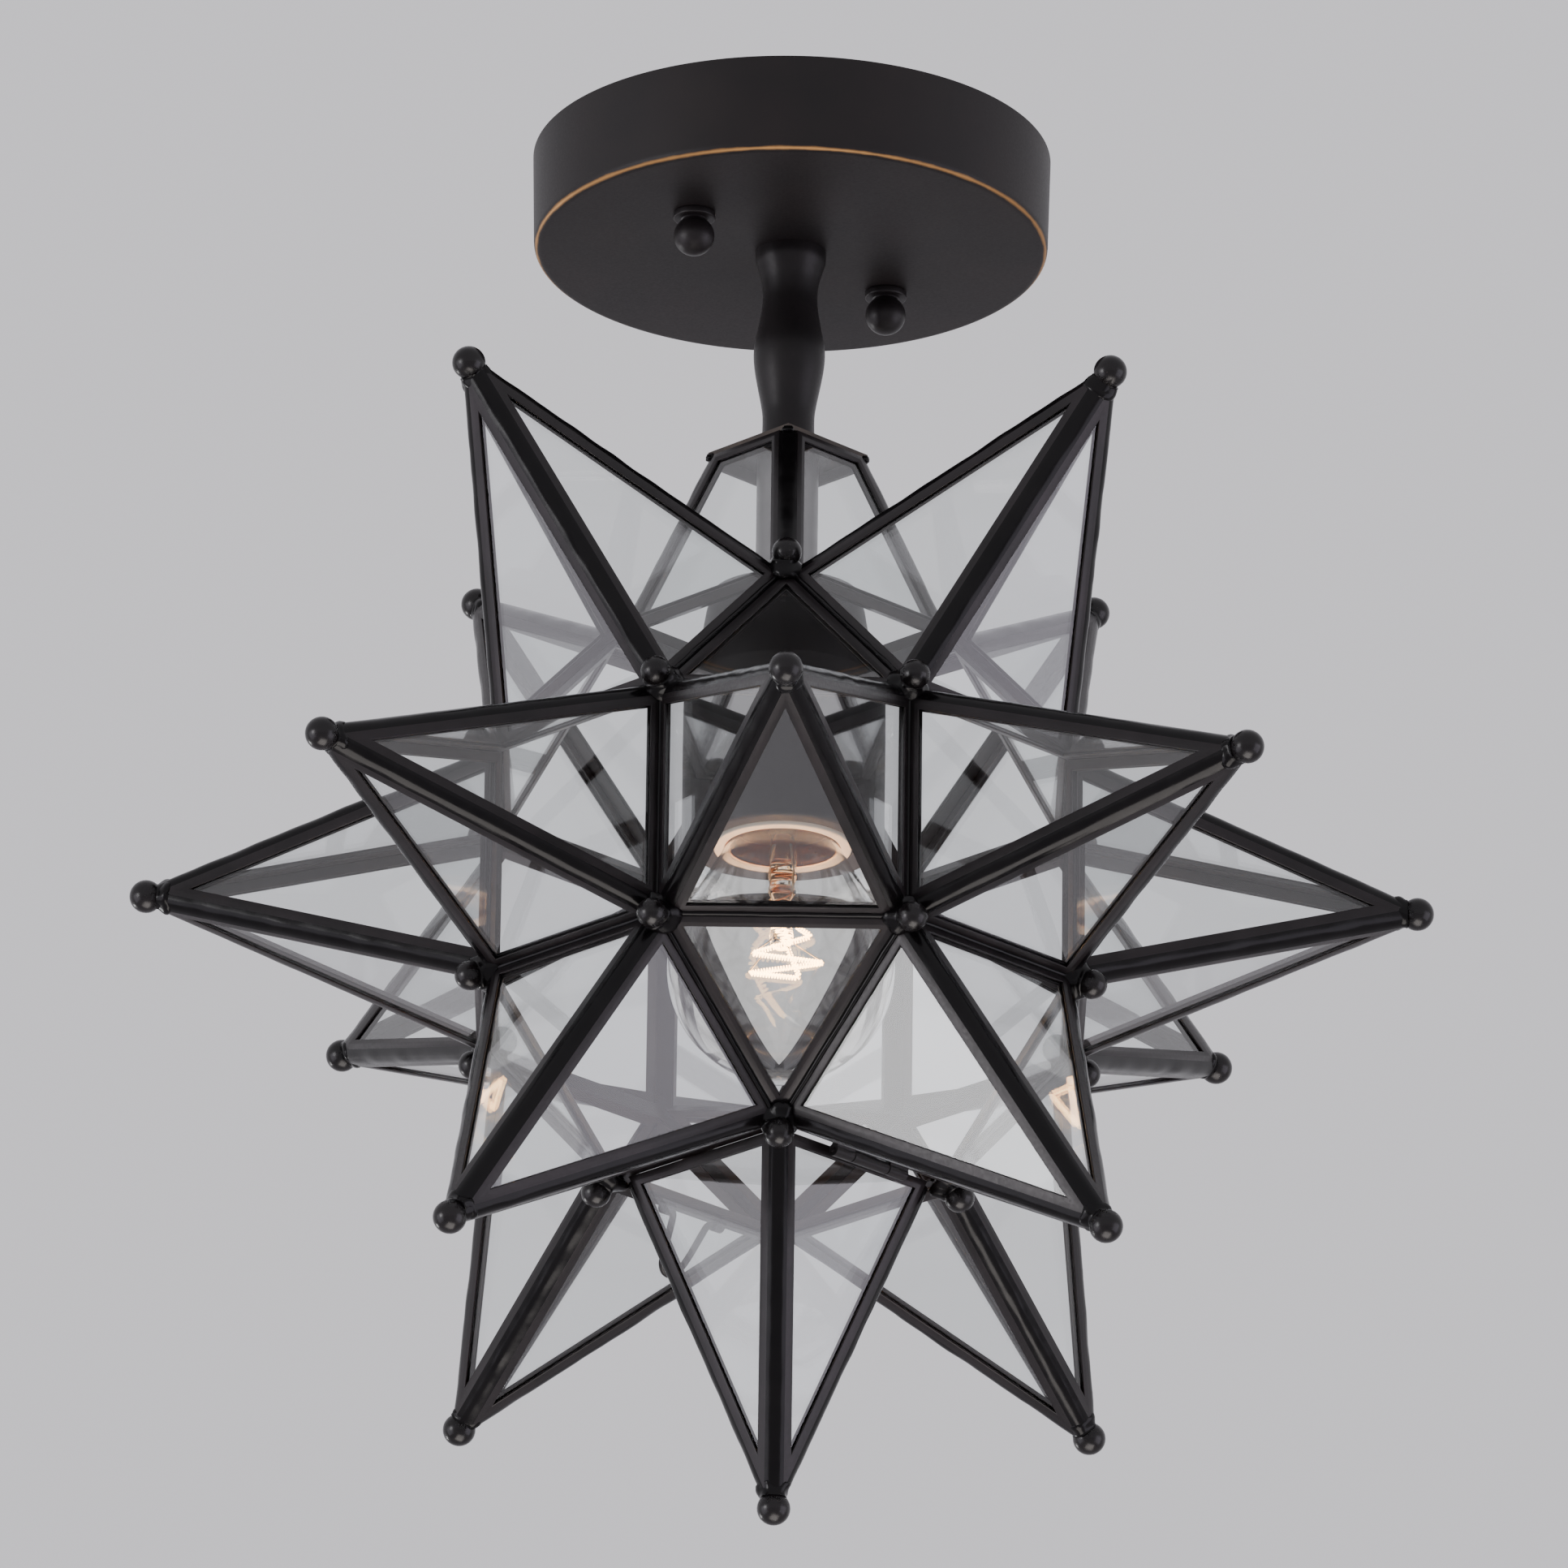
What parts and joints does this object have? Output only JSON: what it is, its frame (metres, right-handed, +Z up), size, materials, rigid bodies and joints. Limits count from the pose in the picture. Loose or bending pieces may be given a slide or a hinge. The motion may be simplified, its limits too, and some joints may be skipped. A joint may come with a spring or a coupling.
{
  "type": "moravian star semi-flush light",
  "caption": "Many pointed clear glass star with dark came frames, hung from a round ceiling canopy on a short turned stem, with a hinged bottom point and a round bulb inside.",
  "frame": {"origin": "centre of the canopy's open rim, in the ceiling plane", "axes": "+Z up into the ceiling, -Y toward the picture's viewer, +X to the viewer's right"},
  "size_m": [0.3134, 0.3134, 0.3518],
  "materials": {
    "came": "dark patina, satin",
    "clear_glass": "clear, polished",
    "solder_ball": "dark patina, satin",
    "solder": "black patina, slightly rough",
    "bronze_finish": "oil rubbed bronze, satin",
    "zinc_steel": "zinc plated",
    "ground_green": "green dyed screw",
    "copper_wire": "bare copper",
    "black_lead": "smooth insulation",
    "white_lead": "smooth insulation",
    "nut_plastic": "moulded orange plastic",
    "porcelain": "glazed cream porcelain",
    "shell_brass": "formed brass",
    "bulb_base_metal": "formed shell",
    "bulb_contact_metal": "solder",
    "bulb_insulator": "black glass",
    "bulb_glass": "clear, thin",
    "filament": "thin drawn wire",
    "hinge_wire": "dark patina"
  },
  "bodies": {
    "star": {"box_bar": "zinc_steel", "canopy": "bronze_finish", "canopy_cap_nuts": "bronze_finish", "canopy_screws": "zinc_steel", "crossbar_rivet": "zinc_steel", "ground_screw": "ground_green", "ground_wire": "copper_wire", "hinge_fixed_knuckles": "hinge_wire", "hinge_pin": "hinge_wire", "lead_black": "black_lead", "lead_white": "white_lead", "lower_point_frame_1": "came", "lower_point_frame_2": "came", "lower_point_frame_3": "came", "lower_point_frame_4": "came", "middle_point_frame_1": "came", "middle_point_frame_2": "came", "middle_point_frame_3": "came", "middle_point_frame_4": "came", "middle_point_frame_5": "came", "middle_point_frame_6": "came", "middle_point_frame_7": "came", "middle_point_frame_8": "came", "pipe_lock_nuts": "zinc_steel", "pipe_washers": "bronze_finish", "point_glass": "clear_glass", "socket_bracket": "zinc_steel", "socket_centre_contact": "shell_brass", "socket_cup": "bronze_finish", "socket_porcelain": "porcelain", "socket_screw_shell": "shell_brass", "socket_screws": "zinc_steel", "solder_balls": "solder_ball", "solder_seams": "solder", "spacer_tube": "bronze_finish", "stem": "bronze_finish", "stud_bar": "zinc_steel", "threaded_pipe": "zinc_steel", "top_frame": "came", "top_glass": "clear_glass", "top_plate": "bronze_finish", "triangle_frames": "came", "triangle_glass": "clear_glass", "upper_point_frame_1": "came", "upper_point_frame_2": "came", "upper_point_frame_3": "came", "upper_point_frame_4": "came", "wire_nuts": "nut_plastic"},
    "door": {"door_frame": "came", "door_glass": "clear_glass", "door_tip_ball": "solder_ball", "hinge_door_knuckle": "hinge_wire", "latch_eyes": "hinge_wire"},
    "latch": {"latch_wire": "hinge_wire"},
    "bulb_tip": {"bulb_contact": "bulb_contact_metal", "bulb_insulator": "bulb_insulator"},
    "bulb": {"bulb_glass": "bulb_glass", "bulb_screw_shell": "bulb_base_metal", "bulb_mount": "bulb_glass", "bulb_filament": "filament"}
  },
  "joints": [
    {"name": "door_hinge", "type": "hinge", "parent": "star", "child": "door", "pos_m": [0.02139, -0.02139, -0.26812], "axis": [-0.7071, -0.7071, 0], "range_deg": [0, 75]},
    {"name": "latch_swing", "type": "hinge", "parent": "door", "child": "latch", "pos_m": [-0.01964, 0.01964, -0.26868], "axis": [0.7071, 0.7071, 0], "range_deg": [-40, 25]},
    {"name": "bulb_drop", "type": "slide", "parent": "star", "child": "bulb_tip", "axis": [0, 0, -1], "range_m": [0, 0.0255]},
    {"name": "bulb_turn", "type": "hinge", "parent": "bulb_tip", "child": "bulb", "pos_m": [0, 0, -0.1951], "axis": [0, 0, -1], "range_deg": [0, 2520]}
  ],
  "couplings": [
    {"joint": "bulb_drop", "follows": "bulb_turn", "m_per_rad": 0.00057757}
  ]
}
